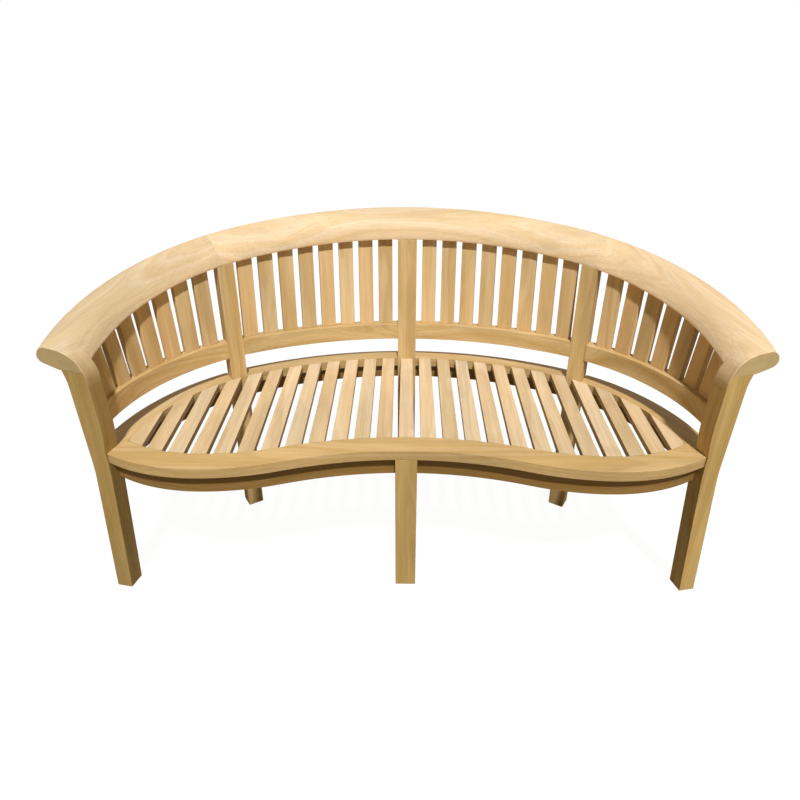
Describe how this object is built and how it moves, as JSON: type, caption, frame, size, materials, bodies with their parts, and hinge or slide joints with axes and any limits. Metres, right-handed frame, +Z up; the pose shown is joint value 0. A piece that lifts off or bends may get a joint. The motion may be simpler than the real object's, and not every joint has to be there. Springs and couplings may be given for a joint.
{
  "type": "garden bench",
  "caption": "Curved teak garden bench with a waved slatted seat and a slatted back that sweeps down into the arms; free-standing on six legs.",
  "frame": {"origin": "on the floor under the middle of the bench's outline", "axes": "+Z up, the sitter faces -Y, +X to the right of a viewer in front of the bench"},
  "size_m": [1.5964, 0.768, 0.882],
  "materials": {
    "frame_teak": "sanded, unfinished",
    "slat_teak": "sanded, unfinished"
  },
  "bodies": {
    "root": {"back_slats_left_middle": "slat_teak", "back_slats_left_side": "slat_teak", "back_slats_right_middle": "slat_teak", "back_slats_right_side": "slat_teak", "centre_bearer": "frame_teak", "centre_front_leg": "frame_teak", "front_apron_left": "frame_teak", "front_apron_right": "frame_teak", "front_board": "frame_teak", "front_leg_left": "frame_teak", "front_leg_right": "frame_teak", "lower_back_rail_left_middle": "frame_teak", "lower_back_rail_left_side": "frame_teak", "lower_back_rail_right_middle": "frame_teak", "lower_back_rail_right_side": "frame_teak", "rear_apron_left_middle": "frame_teak", "rear_apron_left_side": "frame_teak", "rear_apron_right_middle": "frame_teak", "rear_apron_right_side": "frame_teak", "rear_board_left_middle": "frame_teak", "rear_board_left_side": "frame_teak", "rear_board_right_middle": "frame_teak", "rear_board_right_side": "frame_teak", "rear_post_left": "frame_teak", "rear_post_middle": "frame_teak", "rear_post_right": "frame_teak", "seat_slat_01": "slat_teak", "seat_slat_02": "slat_teak", "seat_slat_03": "slat_teak", "seat_slat_04": "slat_teak", "seat_slat_05": "slat_teak", "seat_slat_06": "slat_teak", "seat_slat_07": "slat_teak", "seat_slat_08": "slat_teak", "seat_slat_09": "slat_teak", "seat_slat_10": "slat_teak", "seat_slat_11": "slat_teak", "seat_slat_12": "slat_teak", "seat_slat_13": "slat_teak", "seat_slat_14": "slat_teak", "seat_slat_15": "slat_teak", "seat_slat_16": "slat_teak", "seat_slat_17": "slat_teak", "seat_slat_18": "slat_teak", "seat_slat_19": "slat_teak", "seat_slat_20": "slat_teak", "seat_slat_21": "slat_teak", "seat_slat_22": "slat_teak", "seat_slat_23": "slat_teak", "seat_slat_24": "slat_teak", "seat_slat_25": "slat_teak", "top_rail_left": "frame_teak", "top_rail_middle": "frame_teak", "top_rail_right": "frame_teak"}
  },
  "joints": []
}
